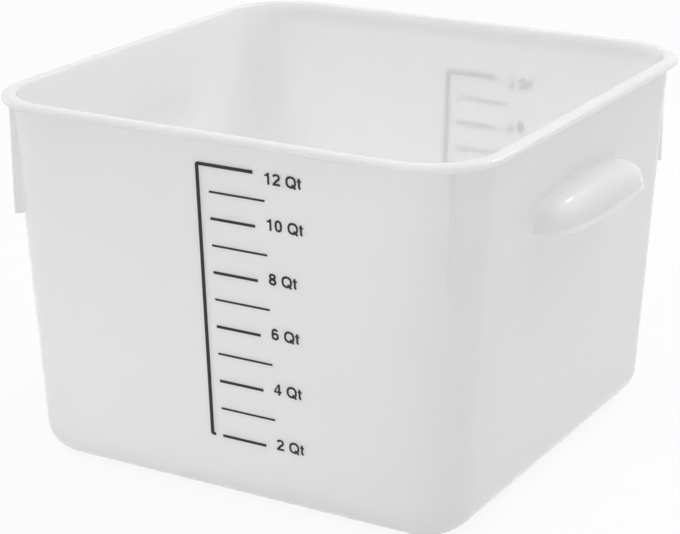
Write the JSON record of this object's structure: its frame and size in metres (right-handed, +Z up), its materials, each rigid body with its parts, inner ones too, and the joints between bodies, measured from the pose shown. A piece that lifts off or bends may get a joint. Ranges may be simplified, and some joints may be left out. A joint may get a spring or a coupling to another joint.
{
  "type": "dough proofing container",
  "caption": "Square translucent food tub for proofing dough, with drafted walls, a rolled lip, open finger hoods on its sides and printed volume scales.",
  "frame": {"origin": "middle of the foot ring's face, at the height of the surface that the tub stands on", "axes": "+Z up, the finger hoods on +X and -X, the quart scale faces -Y and the litre scale faces +Y"},
  "size_m": [0.3088, 0.283, 0.197],
  "materials": {
    "clear_white_plastic": "smooth satin, milky translucent polyethylene",
    "black_ink": "satin screen-printed ink"
  },
  "bodies": {
    "root": {"tub": "clear_white_plastic", "quart_bracket": "black_ink", "quart_major_marks": "black_ink", "quart_minor_marks": "black_ink", "quart_figures": "black_ink", "quart_unit_letters": "black_ink", "litre_bracket": "black_ink", "litre_major_marks": "black_ink", "litre_minor_marks": "black_ink", "litre_figures": "black_ink", "litre_unit_letters": "black_ink"}
  },
  "joints": []
}
